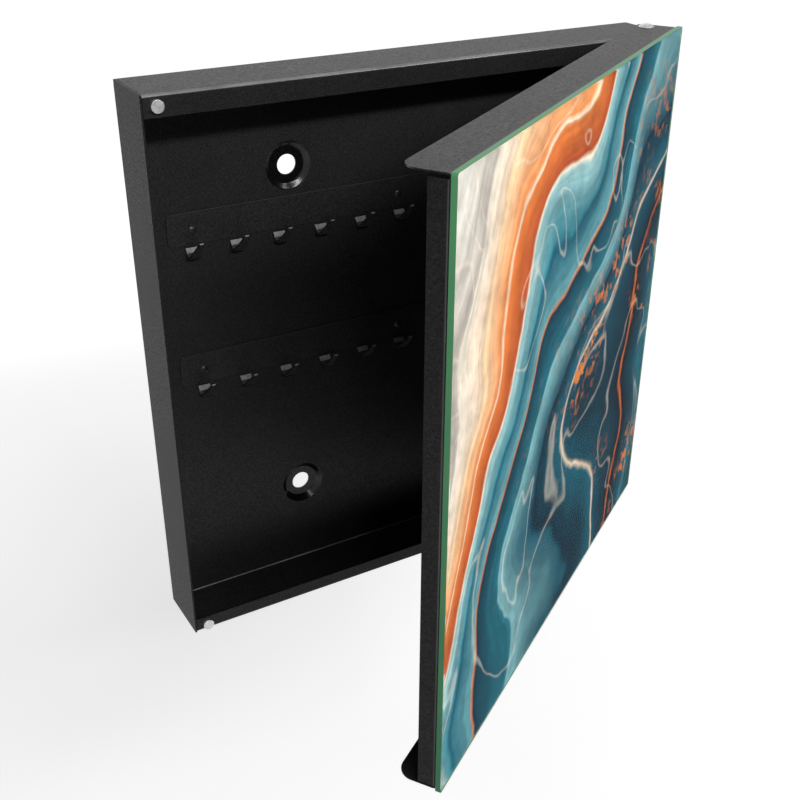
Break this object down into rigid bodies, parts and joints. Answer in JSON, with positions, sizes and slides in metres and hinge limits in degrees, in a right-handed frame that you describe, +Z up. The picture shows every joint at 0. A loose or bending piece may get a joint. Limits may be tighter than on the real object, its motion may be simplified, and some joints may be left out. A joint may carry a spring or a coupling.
{
  "type": "key cabinet",
  "caption": "Shallow folded-steel wall cabinet for keys, with rows of bent hooks inside and a glass-fronted door on side pivots that closes on magnets.",
  "frame": {"origin": "centre of the four wall holes, on the wall's surface", "axes": "+X to the right seen from the room, +Y into the wall, +Z up; the front faces -Y"},
  "size_m": [0.4164, 0.2736, 0.4038],
  "materials": {
    "black_powder_coat": "fine-textured matt powder coat",
    "hook_finish": "fine-textured matt powder coat",
    "rivet_black": "semi-matt black",
    "magnet_plating": "nickel plated",
    "bright_rivet": "bright zinc",
    "washer_nylon": "nylon",
    "acrylic_tape": "matt",
    "printed_film": "printed on the back of the glass",
    "clear_glass": "polished, with a green tint at the edges"
  },
  "bodies": {
    "cabinet": {"back_panel": "black_powder_coat", "wall_cups": "black_powder_coat", "top_wall": "black_powder_coat", "bottom_wall": "black_powder_coat", "left_wall": "black_powder_coat", "right_wall": "black_powder_coat", "hook_strip_upper": "hook_finish", "hook_strip_lower": "hook_finish", "hook_upper_01": "hook_finish", "hook_upper_02": "hook_finish", "hook_upper_03": "hook_finish", "hook_upper_04": "hook_finish", "hook_upper_05": "hook_finish", "hook_upper_06": "hook_finish", "hook_upper_07": "hook_finish", "hook_upper_08": "hook_finish", "hook_upper_09": "hook_finish", "hook_upper_10": "hook_finish", "hook_upper_11": "hook_finish", "hook_lower_01": "hook_finish", "hook_lower_02": "hook_finish", "hook_lower_03": "hook_finish", "hook_lower_04": "hook_finish", "hook_lower_05": "hook_finish", "hook_lower_06": "hook_finish", "hook_lower_07": "hook_finish", "hook_lower_08": "hook_finish", "hook_lower_09": "hook_finish", "hook_lower_10": "hook_finish", "hook_lower_11": "hook_finish", "strip_rivets_upper": "rivet_black", "strip_rivets_lower": "rivet_black", "magnets": "magnet_plating", "pivot_rivets": "bright_rivet", "pivot_washers": "washer_nylon"},
    "door": {"door_pan": "black_powder_coat", "bonding_tape": "acrylic_tape", "print_layer": "printed_film", "glass_panel": "clear_glass"}
  },
  "joints": [
    {"name": "door_hinge", "type": "hinge", "parent": "cabinet", "child": "door", "pos_m": [0.194, -0.0359, 0], "axis": [0, 0, 1], "range_deg": [-33.2, 76.8]}
  ]
}
